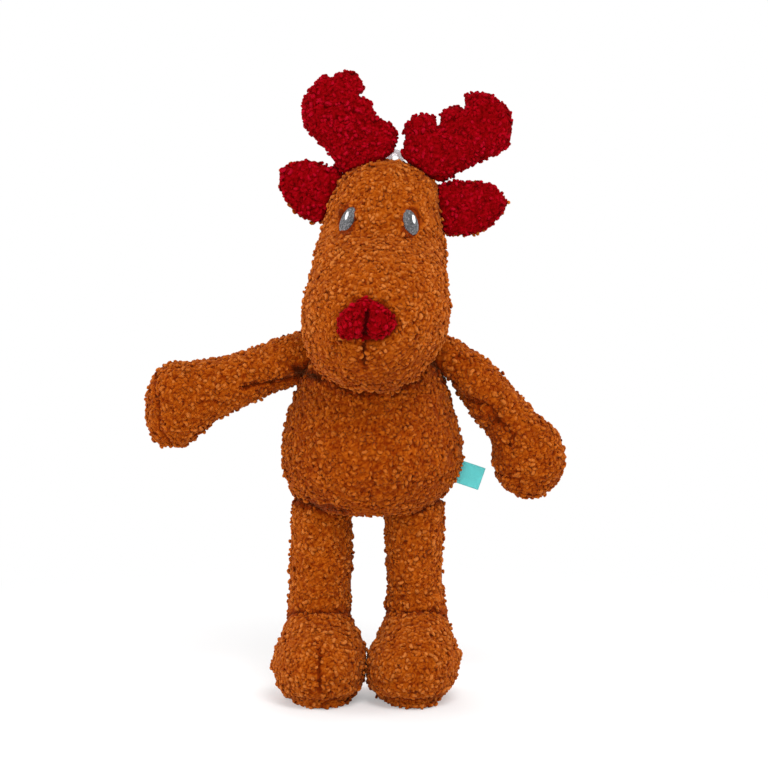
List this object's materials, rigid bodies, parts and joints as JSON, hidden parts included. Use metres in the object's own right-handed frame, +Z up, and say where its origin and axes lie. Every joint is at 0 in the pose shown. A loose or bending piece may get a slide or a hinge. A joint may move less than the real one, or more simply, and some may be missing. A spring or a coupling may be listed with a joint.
{
  "type": "plush deer",
  "caption": "Standing stuffed toy deer in brown boucle fleece with red antlers, ears and nose, soft bending limbs and a small hanging loop.",
  "frame": {"origin": "on the floor below the middle of the toy's bounding box", "axes": "+Z up, +X to the toy's own left, -Y the way it faces"},
  "size_m": [0.2684, 0.1427, 0.4006],
  "materials": {
    "brown_fleece": "nubby boucle fleece",
    "red_fleece": "nubby boucle fleece",
    "sole_fleece": "nubby boucle fleece",
    "fibre_filling": "loose polyester fibre",
    "eye_thread": "satin-stitched thread",
    "glint_thread": "satin-stitched thread",
    "label_ribbon": "woven ribbon",
    "clear_plastic": "clear flexible plastic"
  },
  "bodies": {
    "torso": {"torso_cover": "brown_fleece", "torso_filling": "fibre_filling"},
    "neck": {"neck_filling": "fibre_filling"},
    "head": {"head_cover": "brown_fleece", "head_filling": "fibre_filling", "nose": "red_fleece", "eye_left": "eye_thread", "eye_right": "eye_thread", "eye_glint_left": "glint_thread", "eye_glint_right": "glint_thread", "hang_loop": "clear_plastic"},
    "ear_left": {"ear_left_front": "red_fleece", "ear_left_back": "brown_fleece"},
    "ear_right": {"ear_right_front": "red_fleece", "ear_right_back": "brown_fleece"},
    "antler_left": {"antler_left": "red_fleece"},
    "antler_right": {"antler_right": "red_fleece"},
    "arm_left": {"arm_left": "brown_fleece", "paw_panel_left": "brown_fleece"},
    "arm_right": {"arm_right": "brown_fleece", "paw_panel_right": "brown_fleece"},
    "leg_left": {"leg_left": "brown_fleece"},
    "leg_right": {"leg_right": "brown_fleece"},
    "foot_left": {"foot_left": "brown_fleece", "sole_left": "sole_fleece"},
    "foot_right": {"foot_right": "brown_fleece", "sole_right": "sole_fleece"},
    "label": {"label": "label_ribbon"}
  },
  "joints": [
    {"name": "neck_turn", "type": "hinge", "parent": "torso", "child": "neck", "pos_m": [0.01196, 0.02439, 0.2005], "axis": [0, 0, 1], "range_deg": [-10, 10]},
    {"name": "neck_nod", "type": "hinge", "parent": "neck", "child": "head", "pos_m": [0.01196, 0.02439, 0.2005], "axis": [0.9957, -0.0609, -0.0698], "range_deg": [-25, 8]},
    {"name": "shoulder_left", "type": "hinge", "parent": "torso", "child": "arm_left", "pos_m": [0.06046, 0.02439, 0.2215], "axis": [0, 1, 0], "range_deg": [-75, 2]},
    {"name": "shoulder_right", "type": "hinge", "parent": "torso", "child": "arm_right", "pos_m": [-0.03654, 0.02439, 0.2215], "axis": [0, 1, 0], "range_deg": [-20, 60]},
    {"name": "hip_left", "type": "hinge", "parent": "torso", "child": "leg_left", "pos_m": [0.03896, 0.02439, 0.113], "axis": [1, 0, 0], "range_deg": [-50, 20]},
    {"name": "ankle_left", "type": "hinge", "parent": "leg_left", "child": "foot_left", "pos_m": [0.03896, 0.02439, 0.055], "axis": [1, 0, 0], "range_deg": [-15, 15]},
    {"name": "hip_right", "type": "hinge", "parent": "torso", "child": "leg_right", "pos_m": [-0.01904, 0.02439, 0.113], "axis": [1, 0, 0], "range_deg": [-50, 20]},
    {"name": "ankle_right", "type": "hinge", "parent": "leg_right", "child": "foot_right", "pos_m": [-0.01904, 0.02439, 0.055], "axis": [1, 0, 0], "range_deg": [-15, 15]},
    {"name": "ear_left_bend", "type": "hinge", "parent": "head", "child": "ear_left", "pos_m": [0.05822, 0.02156, 0.31505], "axis": [0, 0, 1], "range_deg": [-15, 15], "stiffness_Nm_per_rad": 0.02},
    {"name": "antler_left_bend", "type": "hinge", "parent": "head", "child": "antler_left", "pos_m": [0.03981, 0.02269, 0.33438], "axis": [0.9957, -0.0609, -0.0698], "range_deg": [-12, 12], "stiffness_Nm_per_rad": 0.06},
    {"name": "ear_right_bend", "type": "hinge", "parent": "head", "child": "ear_right", "pos_m": [-0.01795, 0.02622, 0.32038], "axis": [0.3414, -0.0209, 0.9397], "range_deg": [-15, 15], "stiffness_Nm_per_rad": 0.02},
    {"name": "antler_right_bend", "type": "hinge", "parent": "head", "child": "antler_right", "pos_m": [0.00297, 0.02494, 0.33696], "axis": [0.9957, -0.0609, -0.0698], "range_deg": [-12, 12], "stiffness_Nm_per_rad": 0.06},
    {"name": "label_flap", "type": "hinge", "parent": "torso", "child": "label", "pos_m": [0.06835, 0.02439, 0.149], "axis": [0.3256, 0, 0.9455], "range_deg": [-50, 50], "stiffness_Nm_per_rad": 0.002}
  ]
}
